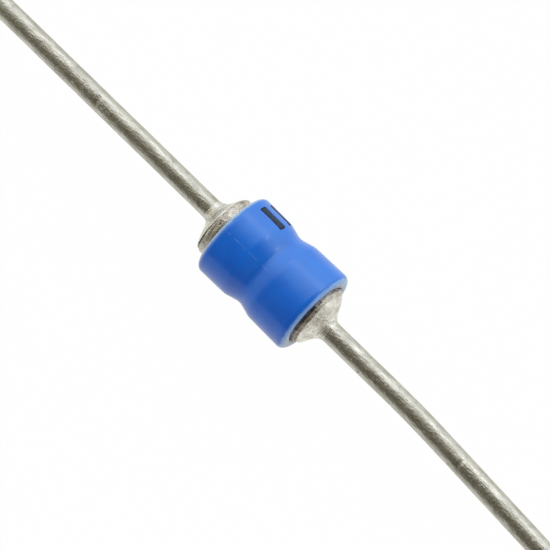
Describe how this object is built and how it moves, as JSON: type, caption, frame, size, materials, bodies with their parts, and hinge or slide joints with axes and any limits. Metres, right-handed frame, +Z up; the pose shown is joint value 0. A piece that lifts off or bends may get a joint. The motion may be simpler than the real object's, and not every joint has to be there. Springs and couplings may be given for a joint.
{
  "type": "transient voltage suppressor diode",
  "caption": "Axial surge-clamping diode: a waisted blue sleeve over copper slugs and a silicon stack, with tinned nail-headed wire leads, one gently bent.",
  "frame": {"origin": "middle of the silicon stack, on the body axis, half-way between the two lead tips", "axes": "+X along the body axis towards the bent (right) lead, +Y away from the side that lead bends to, +Z up out of the side that faces the camera; the body lies on its side"},
  "size_m": [0.062, 0.0054, 0.0054],
  "materials": {
    "tinned_copper": "satin",
    "tinned_slug": "satin",
    "cap_solder": "gloss",
    "die_solder": "satin",
    "silicon": "polished",
    "junction_silicone": "satin",
    "blue_sleeve": "satin"
  },
  "bodies": {
    "root": {"left_lead": "tinned_copper", "right_lead": "tinned_copper", "left_slug": "tinned_slug", "right_slug": "tinned_slug", "left_solder_cap": "cap_solder", "right_solder_cap": "cap_solder", "junction_coating": "junction_silicone", "insulating_sleeve": "blue_sleeve", "silicon_die_1": "silicon", "silicon_die_2": "silicon", "silicon_die_3": "silicon", "silicon_die_4": "silicon", "die_solder_1": "die_solder", "die_solder_2": "die_solder", "die_solder_3": "die_solder", "die_solder_4": "die_solder", "die_solder_5": "die_solder"}
  },
  "joints": []
}
